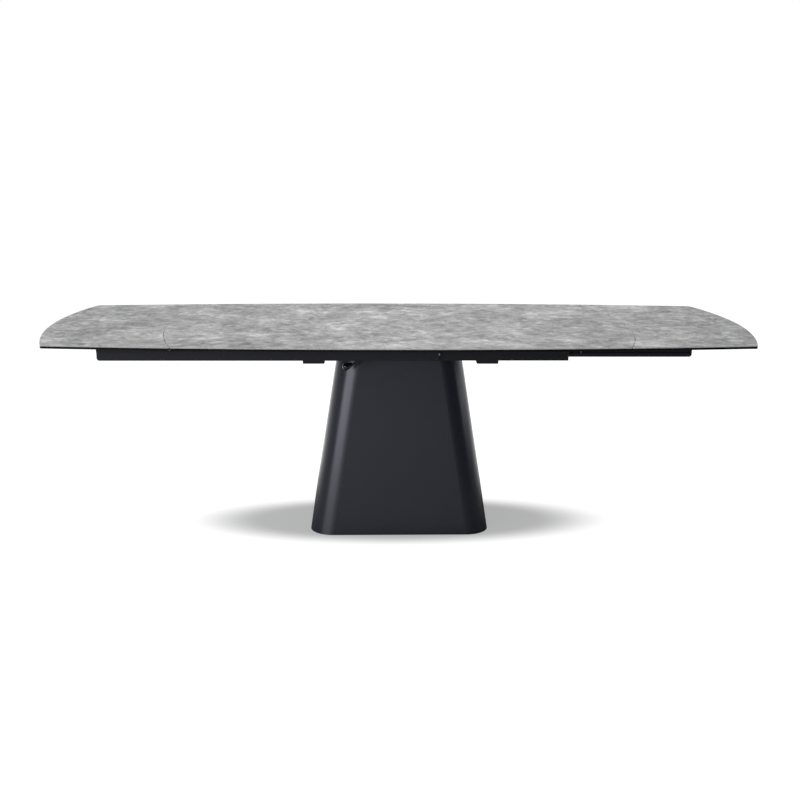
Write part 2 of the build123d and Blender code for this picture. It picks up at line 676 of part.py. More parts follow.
feet = {row + "_" + side: (x * FOOT_SPREAD, y * FOOT_SPREAD)
        for row, y in (("front", -1), ("rear", 1)) for side, x in (("left", -1), ("right", 1))}
base_plate_top = BASE_PLATE_HEIGHT + BASE_PLATE
nut_top = base_plate_top + FOOT_NUT_HEIGHT


def base_plate():
    plate = tapered(BASE_PLATE_HEIGHT, base_plate_top, SHELL_THICKNESS + SHELL_FIT)
    for x, y in feet.values():
        plate -= rod_up(x, y, BASE_PLATE_HEIGHT, base_plate_top, FOOT_STUD_RADIUS + PIN_CLEARANCE)
    return plate


def column():
    outline = RectangleRounded(COLUMN_WIDTH, COLUMN_WIDTH, COLUMN_CORNER)
    bore = COLUMN_WIDTH - COLUMN_WALL * 2
    outline -= RectangleRounded(bore, bore, COLUMN_CORNER - COLUMN_WALL)
    return plate_up(outline, base_plate_top, shell_top)


def foot(x, y):
    """A pad with a turned rim on a threaded stud."""
    rim = FOOT_PAD / 2
    profile = Polyline((0, 0), (FOOT_RADIUS, 0), (FOOT_RADIUS, rim), (FOOT_RADIUS - rim, FOOT_PAD),
                       (FOOT_STUD_RADIUS, FOOT_PAD), (FOOT_STUD_RADIUS, nut_top + FOOT_STUD_SPARE),
                       (0, nut_top + FOOT_STUD_SPARE), close=True)
    return Pos(x, y, 0) * revolve(Plane.XZ * make_face(profile), Axis.Z)


def foot_nut(x, y):
    outline = RegularPolygon(FOOT_NUT_RADIUS, 6) - Circle(FOOT_STUD_RADIUS + PIN_CLEARANCE)
    return plate_up(Pos(x, y) * outline, base_plate_top, nut_top)


keep("pedestal_shell", pedestal_shell())
keep("pedestal_head_plate", head_plate())
keep("pedestal_column", column())
keep("pedestal_base_plate", base_plate())
keep("foot_nuts", *[foot_nut(*place) for place in feet.values()])
for foot_name, foot_place in feet.items():
    keep(foot_name + "_foot", foot(*foot_place))

os.makedirs("parts", exist_ok=True)
for node_name, node_shape in nodes.items():
    export_step(node_shape, os.path.join("parts", node_name + ".step"))
print(len(nodes), "nodes; carriage travel", round(carriage_travel, 1), "stay", round(stay_length, 1))
print("rails", round(outer_rail_end, 1), round(inner_rail_end, 1), round(rail_inner, 1))
print("rail heights", round(rail_bottom, 2), round(rail_top, 2))
print("guide half", round(guide_half, 1), "crank", round(crank_radius, 2), round(crank_pivot_z, 2))
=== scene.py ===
# %% [markdown]
# # An extendable dining table with a ceramic top
# The table is shown with both end leaves out. Its shapes come from a CAD model, so this lesson is about
# everything else: the camera, the studio, the finishes, and the screws, welds and seals that the CAD
# model leaves out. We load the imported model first. Every node sits at the origin, in metres, with its place
# in its mesh, so a pattern that reads Object coordinates is measured in metres on the table itself.

# %% Load the table
import json
import math

import bpy
from mathutils import Matrix, Vector


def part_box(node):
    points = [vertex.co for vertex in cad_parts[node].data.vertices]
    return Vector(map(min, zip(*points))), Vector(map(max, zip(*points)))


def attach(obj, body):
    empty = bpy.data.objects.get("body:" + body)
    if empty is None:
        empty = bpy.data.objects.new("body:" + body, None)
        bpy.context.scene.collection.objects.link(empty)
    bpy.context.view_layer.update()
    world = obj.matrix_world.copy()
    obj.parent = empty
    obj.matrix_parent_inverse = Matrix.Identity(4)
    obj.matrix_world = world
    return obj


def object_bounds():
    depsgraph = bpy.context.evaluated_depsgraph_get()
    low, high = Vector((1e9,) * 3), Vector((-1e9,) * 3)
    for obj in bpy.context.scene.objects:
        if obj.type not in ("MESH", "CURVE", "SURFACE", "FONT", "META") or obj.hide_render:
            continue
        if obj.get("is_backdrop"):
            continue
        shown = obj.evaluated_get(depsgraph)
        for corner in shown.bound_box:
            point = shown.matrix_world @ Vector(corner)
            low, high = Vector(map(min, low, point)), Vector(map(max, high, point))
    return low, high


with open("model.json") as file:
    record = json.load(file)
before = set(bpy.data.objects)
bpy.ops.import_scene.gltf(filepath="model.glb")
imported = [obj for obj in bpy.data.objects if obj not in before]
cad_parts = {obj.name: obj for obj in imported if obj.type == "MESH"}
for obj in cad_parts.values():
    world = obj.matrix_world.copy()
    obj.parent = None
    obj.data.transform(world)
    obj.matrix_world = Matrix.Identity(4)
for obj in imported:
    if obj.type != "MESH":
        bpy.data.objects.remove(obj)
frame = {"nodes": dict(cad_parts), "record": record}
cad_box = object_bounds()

scene = bpy.context.scene
nodes = frame["nodes"]

# %% [markdown]
# ## The camera
# A photograph fixes where the camera stood. The round ends, the seams and the pedestal's corners were
# matched to their pixels, which gave this place, these angles and this focal length in pixels. We could
# aim with a Track To constraint, but a matrix made from three directions says exactly what was measured.
# The Standard view transform keeps white as white, as in a shop's photograph.

# %% Stand the camera where the photographer stood
PHOTO_SIDE = 800
FOCAL_PIXELS = 1155.0
SENSOR_WIDTH = 36.0
CAMERA_PLACE = Vector((-0.122, -4.497, 1.532))
PITCH, YAW, ROLL = (math.radians(angle) for angle in (13.52, 1.65, 0.34))

ahead = Vector((math.sin(YAW) * math.cos(PITCH), math.cos(YAW) * math.cos(PITCH), -math.sin(PITCH)))
level = Vector((math.cos(YAW), -math.sin(YAW), 0.0))
right = level * math.cos(ROLL) + level.cross(ahead) * math.sin(ROLL)
turn = Matrix((right, right.cross(ahead), -ahead)).transposed()

lens = bpy.data.cameras.new("camera")
lens.sensor_width = SENSOR_WIDTH
lens.lens = FOCAL_PIXELS / PHOTO_SIDE * SENSOR_WIDTH
camera = bpy.data.objects.new("camera", lens)
scene.collection.objects.link(camera)
camera.matrix_world = Matrix.Translation(CAMERA_PLACE) @ turn.to_4x4()
scene.camera = camera
scene.view_settings.view_transform = "Standard"
print("lens", round(lens.lens, 2), "mm")

# %% [markdown]
# ## Nodes in a few words
# Shader trees and geometry trees are both built from nodes and links. One small helper does both jobs:
# it adds a node, sets its properties, and then fills its inputs. An input that is given another node's
# output gets a link, and an input that is given a number or a colour gets that value. Sums are so common
# that they get a helper of their own.


# %% Helpers that add nodes
def add(tree, kind, inputs=None, **settings):
    node = tree.nodes.new(kind)
    for name, value in settings.items():
        setattr(node, name, value)
    for key, value in (inputs or {}).items():
        if isinstance(value, bpy.types.NodeSocket):
            tree.links.new(value, node.inputs[key])
        else:
            node.inputs[key].default_value = value
    return node


def math_node(tree, operation, first, second):
    return add(tree, "ShaderNodeMath", {0: first, 1: second}, operation=operation).outputs["Value"]


def rgba(red, green, blue):
    return (red, green, blue, 1.0)


# %% [markdown]
# ## The studio
# The photograph has a white sweep, a soft shadow round the foot, and a dark room behind the camera that
# keeps the pedestal's front nearly black. A white world would light the front as well, so only the
# camera sees the white, and the table sees a dim room. One wide softbox hangs over the table, with a small
# one high on the left. Lower ones in front and at both sides draw the soft bright bands down the pedestal's
# rounded corners: how far a box reaches round the table sets how wide its band is, because a corner
# mirrors a wide arc of the room. A last one stands low behind the table. It lights the back for views from
# there, and as it stays below the top, it hardly changes what the camera sees.

# %% Make the room
WHITE = (1.0, 1.0, 1.0)
ROOM_TINT = (0.92, 0.96, 1.0)
ROOM_LIGHT = 0.05

world = bpy.data.worlds.new("room")
world.use_nodes = True
scene.world = world
room = world.node_tree
room.nodes.clear()
seen = add(room, "ShaderNodeLightPath").outputs["Is Camera Ray"]
dim = add(room, "ShaderNodeBackground", {"Color": rgba(*ROOM_TINT), "Strength": ROOM_LIGHT})
white = add(room, "ShaderNodeBackground", {"Color": rgba(*WHITE), "Strength": 1.0})
both = add(room, "ShaderNodeMixShader", {0: seen, 1: dim.outputs[0], 2: white.outputs[0]})
add(room, "ShaderNodeOutputWorld", {"Surface": both.outputs[0]})
print("room", len(room.nodes), "nodes")

# %% Hang the softboxes
PEDESTAL_MIDDLE = (0.0, 0.0, 0.5)


def softbox(name, place, size, power, target=PEDESTAL_MIDDLE, tint=WHITE):
    """A rectangular area light at a place, turned to face a point. Its size is its width and height."""
    lamp = bpy.data.lights.new(name, "AREA")
    lamp.shape = "RECTANGLE"
    lamp.size, lamp.size_y = size
    lamp.energy = power
    lamp.color = tint
    box = bpy.data.objects.new(name, lamp)
    scene.collection.objects.link(box)
    facing = Vector(target) - Vector(place)
    box.matrix_world = Matrix.Translation(place) @ facing.to_track_quat("-Z", "Y").to_matrix().to_4x4()


softbox("overhead", (0.15, 0.5, 3.4), size=(3.3, 3.0), power=140.0, target=(0.15, 0.1, 0.0))
softbox("left_high", (-4.0, -0.3, 2.9), size=(1.8, 1.4), power=65.0, target=(0.0, 0.0, 0.8))
softbox("left_front", (-5.6, -7.3, 2.16), size=(7.2, 2.56), power=353.0, tint=(0.87, 0.89, 1.0))
softbox("left_side", (-3.23, 0.45, 0.7), size=(4.2, 1.0), power=6.5, tint=(0.94, 0.97, 1.0))
softbox("right_side", (2.82, 0.4, 0.85), size=(2.8, 0.7), power=10.5, tint=(0.87, 0.9, 1.0))
softbox("front_fill", (-0.5, -5.2, 0.75), size=(3.0, 1.0), power=8.0, tint=ROOM_TINT)
softbox("rear_fill", (0.5, 4.6, 0.37), size=(4.0, 0.7), power=42.0, target=(0.0, 0.0, 0.37), tint=ROOM_TINT)
print("lights", len(bpy.data.lights))

# %% [markdown]
# ## The floor
# A real sweep is lit until it burns out to white, so its edge can't be seen. Here a plain pale floor
# gets the table's own soft shadow only faintly, as the camera sees a darker grey of it than the lamps do. The
# grey round the foot is a painted shadow: the floor glows for the camera, less inside an ellipse round the
# foot and fully further out, which also hides where the floor ends. Behind the table it glows in reflections
# too, as a lit sweep does, and that puts the bright rims on the pedestal. The glow is for sight alone, so the
# renderer is told not to treat the floor as a lamp.

# %% Lay the floor
FLOOR_HALF = 14.0
FLOOR_GREY, FLOOR_GREY_SEEN = (0.6, 0.6, 0.6), (0.2, 0.2, 0.2)
FLOOR_ROUGHNESS, FLOOR_SHINE = 0.9, 0.1

floor_mesh = bpy.data.meshes.new("floor")
corners = [(x, y, 0.0) for x, y in ((-1, -1), (1, -1), (1, 1), (-1, 1))]
floor_mesh.from_pydata([Vector(corner) * FLOOR_HALF for corner in corners], [], [(0, 1, 2, 3)])
floor = bpy.data.objects.new("floor", floor_mesh)
scene.collection.objects.link(floor)

pale = bpy.data.materials.new("pale_floor")
pale.use_nodes = True
tree = pale.node_tree
principled = tree.nodes["Principled BSDF"]
principled.inputs["Roughness"].default_value = FLOOR_ROUGHNESS
principled.inputs["Specular IOR Level"].default_value = FLOOR_SHINE
paths = add(tree, "ShaderNodeLightPath").outputs
seen, mirrored = paths["Is Camera Ray"], paths["Is Glossy Ray"]
greys = {0: seen, 6: rgba(*FLOOR_GREY), 7: rgba(*FLOOR_GREY_SEEN)}
grey = add(tree, "ShaderNodeMix", greys, data_type="RGBA").outputs[2]
tree.links.new(grey, principled.inputs["Base Color"])
floor_mesh.materials.append(pale)
print("floor", 2 * FLOOR_HALF, "m wide")

# %% Let it glow for the camera and in reflections, with a painted shadow round the foot
SHADOW_CENTRE = (0.0, -0.15, 0.0)
SHADOW_REACH = (0.88, 0.31, 1.0)
SHADOW_CORE = 0.6
SHADOW_GLOW, SWEEP_GLOW = 0.415, 1.0
BEHIND_START, BEHIND_FULL = 0.2, 1.2

place = add(tree, "ShaderNodeTexCoord").outputs["Object"]
shifted = add(tree, "ShaderNodeVectorMath", {0: place, 1: SHADOW_CENTRE}, operation="SUBTRACT")
scaled = add(tree, "ShaderNodeVectorMath", {0: shifted.outputs[0], 1: SHADOW_REACH}, operation="DIVIDE")
away = add(tree, "ShaderNodeVectorMath", {0: scaled.outputs[0]}, operation="LENGTH").outputs["Value"]
# The glow drops to SHADOW_GLOW inside an ellipse round the foot: a painted shadow, not one the lamps cast.
painted_shadow_glow = add(tree, "ShaderNodeMapRange",
           {"Value": away, "From Min": SHADOW_CORE, "From Max": 1.0,
            "To Min": SHADOW_GLOW, "To Max": SWEEP_GLOW}, interpolation_type="SMOOTHSTEP").outputs["Result"]
depth = add(tree, "ShaderNodeSeparateXYZ", {0: place}).outputs["Y"]
behind = add(tree, "ShaderNodeMapRange",
             {"Value": depth, "From Min": BEHIND_START, "From Max": BEHIND_FULL}).outputs["Result"]
shown = math_node(tree, "MAXIMUM", seen, math_node(tree, "MULTIPLY", mirrored, behind))
tree.links.new(math_node(tree, "MULTIPLY", painted_shadow_glow, shown), principled.inputs["Emission Strength"])
principled.inputs["Emission Color"].default_value = rgba(*WHITE)
pale.cycles.emission_sampling = "NONE"
floor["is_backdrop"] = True
print("floor material", len(tree.nodes), "nodes")

# %% [markdown]
# ## Effects that several finishes share
# Paint, steel and plastic all vary a little, each at its own scale. Copying the same nodes into every
# material would be hard to change, so each effect is a node group: soft clouds of tone, a fine grain,
# lines left by drawing or brushing, and a mask of the edges that hands and tools rub.


# %% Helpers for groups and noise
def new_group(name, inputs, outputs):
    """An empty shader group with a vector input for the coordinates and some number inputs."""
    group = bpy.data.node_groups.new(name, "ShaderNodeTree")
    group.interface.new_socket("Coordinates", in_out="INPUT", socket_type="NodeSocketVector")
    for socket, value in inputs.items():
        kind = "NodeSocketVector" if isinstance(value, tuple) else "NodeSocketFloat"
        group.interface.new_socket(socket, in_out="INPUT", socket_type=kind).default_value = value
    for socket in outputs:
        group.interface.new_socket(socket, in_out="OUTPUT", socket_type="NodeSocketFloat")
    return group, add(group, "NodeGroupInput").outputs, add(group, "NodeGroupOutput").inputs


def noise(tree, coordinates, scale, detail, roughness=0.5, distortion=0.0):
    return add(tree, "ShaderNodeTexNoise",
               {"Vector": coordinates, "Scale": scale, "Detail": detail,
                "Roughness": roughness, "Distortion": distortion}).outputs["Fac"]


def stretch(tree, value, low, high, to_low=0.0, to_high=1.0):
    """Spreads a band of a noise over a wider range, and stops at its ends."""
    return add(tree, "ShaderNodeMapRange",
               {"Value": value, "From Min": low, "From Max": high,
                "To Min": to_low, "To Max": to_high}).outputs["Result"]


def weighted(tree, *parts):
    """Adds values up, each times its share."""
    total = None
    for value, share in parts:
        portion = math_node(tree, "MULTIPLY", value, share)
        total = portion if total is None else math_node(tree, "ADD", total, portion)
    return total


# %% Soft clouds of tone
FINER_BY = 2.7
BROAD_SHARE, FINER_SHARE = 0.45, 0.55
CLOUD_BAND = (0.34, 0.66)

clouds, given, result = new_group("soft_clouds", {"Scale": 5.0}, ["Tone"])
broad = noise(clouds, given["Coordinates"], given["Scale"], detail=3.0, roughness=0.55, distortion=0.4)
finer_scale = math_node(clouds, "MULTIPLY", given["Scale"], FINER_BY)
finer = noise(clouds, given["Coordinates"], finer_scale, detail=5.0, roughness=0.62, distortion=0.9)
blend = weighted(clouds, (broad, BROAD_SHARE), (finer, FINER_SHARE))
clouds.links.new(stretch(clouds, blend, *CLOUD_BAND), result["Tone"])
print(clouds.name, len(clouds.nodes), "nodes")

# %% A fine grain, and lines from drawing or brushing
NOISE_BAND = (0.3, 0.7)

grain, given, result = new_group("fine_grain", {"Scale": 900.0}, ["Height"])
bumps = noise(grain, given["Coordinates"], given["Scale"], detail=2.0, roughness=0.4)
grain.links.new(stretch(grain, bumps, *NOISE_BAND), result["Height"])

lines, given, result = new_group("drawn_lines", {"Spread": (4.0, 700.0, 700.0)}, ["Height"])
drawn = add(lines, "ShaderNodeVectorMath", {0: given["Coordinates"], 1: given["Spread"]},
            operation="MULTIPLY").outputs["Vector"]
streaks = noise(lines, drawn, 1.0, detail=3.0, roughness=0.6)
lines.links.new(stretch(lines, streaks, *NOISE_BAND), result["Height"])
print(grain.name, len(grain.nodes), "nodes,", lines.name, len(lines.nodes), "nodes")

# %% A mask of rubbed edges
RUB_SAMPLES = 4
RUB_PATCHES = 60.0
EDGE_STARTS, EDGE_FULL = 0.99, 0.85

rub, given, result = new_group("edge_rub", {"Reach": 0.0015}, ["Mask"])
rounded = add(rub, "ShaderNodeBevel", {"Radius": given["Reach"]}, samples=RUB_SAMPLES).outputs["Normal"]
flat = add(rub, "ShaderNodeNewGeometry").outputs["Normal"]
agree = add(rub, "ShaderNodeVectorMath", {0: rounded, 1: flat}, operation="DOT_PRODUCT").outputs["Value"]
patchy = noise(rub, given["Coordinates"], RUB_PATCHES, detail=3.0)
mask = math_node(rub, "MULTIPLY", stretch(rub, agree, EDGE_STARTS, EDGE_FULL), patchy)
rub.links.new(mask, result["Mask"])
print(rub.name, len(rub.nodes), "nodes")

# %% [markdown]
# ## What every finish has in common
# Each finish starts from the Principled shader and Object coordinates. It places shared groups with its own
# values, blends two colours by a mask, and turns a height into a bump. A helper for each of these keeps the
# recipes short, and the shader itself stays in the material, where the export can read it.

# %% Helpers for a finish
finishes = {}


def new_finish(name):
    material = bpy.data.materials.new(name)
    material.use_nodes = True
    tree = material.node_tree
    coordinates = add(tree, "ShaderNodeTexCoord").outputs["Object"]
    return material, tree, tree.nodes["Principled BSDF"], coordinates


def use(tree, group, coordinates, **values):
    """Places a shared group in a material and gives back its one output."""
    node = add(tree, "ShaderNodeGroup", node_tree=group)
    tree.links.new(coordinates, node.inputs["Coordinates"])
    for socket, value in values.items():
        node.inputs[socket].default_value = value
    return node.outputs[0]


def between(tree, factor, low, high):
    """A colour that goes from one to another with a mask."""
    ramp = add(tree, "ShaderNodeMix", {0: factor}, data_type="RGBA")
    for socket, colour in ((6, low), (7, high)):
        if isinstance(colour, bpy.types.NodeSocket):
            tree.links.new(colour, ramp.inputs[socket])
        else:
            ramp.inputs[socket].default_value = rgba(*colour)
    return ramp.outputs[2]


def shade(colour, share):
    return tuple(channel * share for channel in colour)


def bump(tree, principled, height, distance, strength=1.0):
    node = add(tree, "ShaderNodeBump", {"Height": height, "Distance": distance, "Strength": strength})
    tree.links.new(node.outputs["Normal"], principled.inputs["Normal"])


# %% [markdown]
# ## The ceramic sheet
# The top is a thin porcelain sheet printed to look like trowelled concrete: grey clouds of hand size,
# finer wisps inside them, and specks as small as sand. One noise looks like smoke, so three are laid
# over each other. The ground edge shows the paler body of the sheet, so faces that don't look up get it.

# %% Print the concrete look
CLOUD_SCALE, WISP_SCALE, SAND_SCALE = 5.5, 29.0, 420.0
CLOUD_SHARE, WISP_SHARE, SAND_SHARE = 0.5, 0.42, 0.08
WISP_BAND = (0.32, 0.68)
PRINTED_GREYS = ((0.12, 0.12), (0.42, 0.236), (0.6, 0.32), (0.88, 0.505))
PRINTED_BLUE = 0.99

material, tree, principled, coordinates = new_finish("concrete_ceramic")
patches = use(tree, clouds, coordinates, Scale=CLOUD_SCALE)
wisps = noise(tree, coordinates, WISP_SCALE, detail=6.0, roughness=0.66, distortion=0.9)
sand = noise(tree, coordinates, SAND_SCALE, detail=2.0)
spread_wisps = stretch(tree, wisps, *WISP_BAND)
tone = weighted(tree, (patches, CLOUD_SHARE), (spread_wisps, WISP_SHARE), (sand, SAND_SHARE))
printed = add(tree, "ShaderNodeValToRGB", {"Fac": tone})
stops = printed.color_ramp.elements
for index, (position, grey) in enumerate(PRINTED_GREYS):
    stop = stops[index] if index < len(stops) else stops.new(position)
    stop.position = position
    stop.color = rgba(grey, grey, grey * PRINTED_BLUE)
print("greys", [round(stop.color[0], 3) for stop in stops])

# %% Show the body at the edge and set the gloss
BODY_GREY = (0.5, 0.496, 0.474)
LOOKS_UP, LOOKS_ASIDE = 0.95, 0.6
CERAMIC_GLOSS, CERAMIC_SHINE = (0.46, 0.6), 0.35
SAND_DEPTH, SAND_STRENGTH = 0.0002, 0.6

normal = add(tree, "ShaderNodeNewGeometry").outputs["Normal"]
upward = add(tree, "ShaderNodeSeparateXYZ", {0: normal}).outputs["Z"]
edge = stretch(tree, upward, LOOKS_UP, LOOKS_ASIDE)
colour = between(tree, edge, printed.outputs["Color"], BODY_GREY)
tree.links.new(colour, principled.inputs["Base Color"])
rough = stretch(tree, wisps, *NOISE_BAND, *CERAMIC_GLOSS)
tree.links.new(rough, principled.inputs["Roughness"])
principled.inputs["Specular IOR Level"].default_value = CERAMIC_SHINE
bump(tree, principled, sand, SAND_DEPTH, SAND_STRENGTH)
finishes["ceramic"] = material
print(material.name, len(tree.nodes), "nodes")

# %% [markdown]
# ## The glass backing
# Under the ceramic is a sheet of black-enamelled glass, which shows as a thin black edge. Glass would
# be see-through without its enamel, so a dark glossy surface is enough, with faint smears in its gloss.

# %% Black edge glass
ENAMEL, ENAMEL_SMEARED = (0.002, 0.002, 0.0025), (0.004, 0.004, 0.0045)
SMEAR_SCALE = 9.0
GLASS_GLOSS, GLASS_SHINE = (0.16, 0.26), 0.2

material, tree, principled, coordinates = new_finish("edge_glass")
smear = use(tree, clouds, coordinates, Scale=SMEAR_SCALE)
tree.links.new(between(tree, smear, ENAMEL, ENAMEL_SMEARED), principled.inputs["Base Color"])
tree.links.new(stretch(tree, smear, 0.0, 1.0, *GLASS_GLOSS), principled.inputs["Roughness"])
principled.inputs["Specular IOR Level"].default_value = GLASS_SHINE
finishes["edge_glass"] = material
print(material.name, len(tree.nodes), "nodes")

# %% [markdown]
# ## Coated and moulded pieces
# The pedestal and the steel bars are powder coated. The coat flows in the oven and sets with a fine
# orange peel, and on the bars it is rubbed thin along the edges. Nylon, rubber and the knob differ only in
# colour, gloss and grain, so one function makes all of them from their own values.


# %% A recipe for coatings and mouldings
def coated(name, colour, gloss, grain_scale, grain_depth, cloud_scale, worn=None, shine=0.5, vary=0.12):
    """Gloss is the lowest and the highest roughness. Worn is the colour of a rubbed edge."""
    material, tree, principled, coordinates = new_finish(name)
    tone = use(tree, clouds, coordinates, Scale=cloud_scale)
    peel = use(tree, grain, coordinates, Scale=grain_scale)
    base = between(tree, tone, shade(colour, 1 - vary), shade(colour, 1 + vary))
    if worn:
        base = between(tree, use(tree, rub, coordinates), base, worn)
    tree.links.new(base, principled.inputs["Base Color"])
    tree.links.new(stretch(tree, tone, 0.0, 1.0, *gloss), principled.inputs["Roughness"])
    principled.inputs["Specular IOR Level"].default_value = shine
    bump(tree, principled, peel, grain_depth)
    return material


# %% Mix the coatings and mouldings
COATINGS = {
    "powder_coat": dict(colour=(0.0155, 0.0157, 0.025), gloss=(0.277, 0.297), vary=0.05,
                        grain_scale=260.0, grain_depth=0.000008, cloud_scale=3.0),
    "black_steel": dict(colour=(0.006, 0.006, 0.0072), gloss=(0.42, 0.56), worn=(0.03, 0.03, 0.032),
                        grain_scale=1100.0, grain_depth=0.00006, cloud_scale=14.0, shine=0.3),
    "primed_steel": dict(colour=(0.11, 0.105, 0.10), gloss=(0.6, 0.8), worn=(0.2, 0.19, 0.18),
                         grain_scale=700.0, grain_depth=0.0001, cloud_scale=8.0),
    "nylon": dict(colour=(0.014, 0.014, 0.015), gloss=(0.4, 0.52),
                  grain_scale=1600.0, grain_depth=0.00006, cloud_scale=30.0),
    "rubber": dict(colour=(0.012, 0.012, 0.012), gloss=(0.75, 0.9),
                   grain_scale=900.0, grain_depth=0.0001, cloud_scale=30.0, shine=0.25),
    "knob_plastic": dict(colour=(0.006, 0.006, 0.0065), gloss=(0.08, 0.16),
                         grain_scale=500.0, grain_depth=0.00002, cloud_scale=60.0),
}
for name, values in COATINGS.items():
    finishes[name] = coated(name, **values)
print("coatings and mouldings", list(COATINGS))

# %% [markdown]
# ## Bare and anodised metal
# The rails are black anodised extrusions, with faint lines along their length from the die. Cranks and
# stays are blanked from plain steel and brushed, and bolts and pins are zinc plated, with soft patches in
# the plating. All of them are a metal colour, fine lines or an even grain, and clouds in the roughness. The
# black oxide on the rails hides the metal's own reflection, so their finish isn't metallic.

# %% A recipe for metals
DARKEST, LIGHTEST = 0.85, 1.12
TONE_SHARE, LINE_SHARE = 0.5, 0.5


def metal(name, colour, gloss, spread, depth, cloud_scale, metallic=1.0, shine=0.5):
    """Spread says how fine the lines are along each axis, and depth how deep."""
    material, tree, principled, coordinates = new_finish(name)
    tone = use(tree, clouds, coordinates, Scale=cloud_scale)
    drawn = use(tree, lines, coordinates, Spread=spread)
    base = between(tree, tone, shade(colour, DARKEST), shade(colour, LIGHTEST))
    tree.links.new(base, principled.inputs["Base Color"])
    rough = weighted(tree, (tone, TONE_SHARE), (drawn, LINE_SHARE))
    tree.links.new(stretch(tree, rough, 0.0, 1.0, *gloss), principled.inputs["Roughness"])
    principled.inputs["Metallic"].default_value = metallic
    principled.inputs["Specular IOR Level"].default_value = shine
    bump(tree, principled, drawn, depth)
    return material


# %% Mix the metals
ALONG_TABLE = (5.0, 900.0, 900.0)
ACROSS_TABLE = (300.0, 18.0, 300.0)
EVERY_WAY = (160.0, 160.0, 160.0)

METALS = {
    "black_aluminium": dict(colour=(0.0106, 0.0104, 0.0155), gloss=(0.36, 0.5), spread=ALONG_TABLE,
                            depth=0.00004, cloud_scale=10.0, metallic=0.0, shine=0.28),
    "plain_steel": dict(colour=(0.40, 0.40, 0.41), gloss=(0.3, 0.46), spread=ACROSS_TABLE,
                        depth=0.00004, cloud_scale=26.0),
    "zinc_steel": dict(colour=(0.56, 0.57, 0.59), gloss=(0.28, 0.42), spread=EVERY_WAY,
                       depth=0.00003, cloud_scale=70.0),
    "foot_steel": dict(colour=(0.45, 0.45, 0.46), gloss=(0.3, 0.45), spread=EVERY_WAY,
                       depth=0.00003, cloud_scale=50.0),
}
for name, values in METALS.items():
    finishes[name] = metal(name, **values)
print("metals", list(METALS))

# %% [markdown]
# ## Which piece gets which finish
# The record names a material slot for every piece, so a dictionary from slot to finish dresses all of them
# in one loop. Assigning by hand would work too, but a piece that is added later would be easy to miss.

# %% Dress the pieces
pieces = frame["record"]["subparts"]
for piece in pieces:
    mesh = nodes[piece["node"]].data
    mesh.materials.clear()
    mesh.materials.append(finishes[piece["material_slot"]])
print("pieces", len(pieces), "finishes", len(finishes))

# %% [markdown]
# ## Growing small pieces with Geometry Nodes
# Screws, weld beads and seals repeat or follow a path, and each could be placed by hand. A geometry tree
# does it from a few named sizes instead, so one change alters all of them. The result is kept as a plain
# mesh, because a moving part needs its own piece on its own body.


# %% Helpers for geometry trees
def geometry_tree(name, inputs):
    """A tree with a mesh in and out, and named inputs given as names and kinds of socket."""
    tree = bpy.data.node_groups.new(name, "GeometryNodeTree")
    tree.interface.new_socket("Geometry", in_out="OUTPUT", socket_type="NodeSocketGeometry")
    tree.interface.new_socket("Geometry", in_out="INPUT", socket_type="NodeSocketGeometry")
    for socket, kind in inputs.items():
        tree.interface.new_socket(socket, in_out="INPUT", socket_type="NodeSocket" + kind)
    return tree, add(tree, "NodeGroupInput").outputs, add(tree, "NodeGroupOutput").inputs


def end_tree(tree, result, geometry, material):
    """Every tree here ends the same way, as the export needs real faces with a material."""
    real = add(tree, "GeometryNodeRealizeInstances", {"Geometry": geometry}).outputs["Geometry"]
    finished = add(tree, "GeometryNodeSetMaterial", {"Geometry": real, "Material": material})
    tree.links.new(finished.outputs["Geometry"], result["Geometry"])
    print(tree.name, "tree", len(tree.nodes), "nodes")


def grow(name, carrier, tree, body, slot, **sizes):
    """Runs a tree on a carrier mesh, keeps the faces, and hangs the piece on its body."""
    piece = bpy.data.objects.new(name, carrier)
    scene.collection.objects.link(piece)
    modifier = piece.modifiers.new(tree.name, "NODES")
    modifier.node_group = tree
    values = dict(sizes, Material=finishes[slot])
    for socket in tree.interface.items_tree:
        if socket.in_out == "INPUT" and socket.name in values:
            modifier[socket.identifier] = values[socket.name]
    evaluated = piece.evaluated_get(bpy.context.evaluated_depsgraph_get())
    mesh = bpy.data.meshes.new_from_object(evaluated)
    piece.modifiers.clear()
    piece.data = mesh
    mesh.name = name
    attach(piece, body)
    print(name, len(mesh.polygons), "faces on", body)
    return piece


def half_turn(point):
    """The right-hand side is the left-hand side turned half round the middle of the table."""
    return (-point[0], -point[1], point[2])


# %% [markdown]
# ## Screws
# The brackets, the rail caps and the rail stops are held by screws. A head is a short cylinder whose
# rim draws in towards its crown, with a hexagon socket cut in it. A six-sided head with no socket is a
# hexagon bolt. Each point carries the way that its head faces, and a seeded spin keeps the sockets from
# all lining up.

# %% A tree for screw heads
SIDE_RINGS = 4
CROWN_DRAW = 0.62

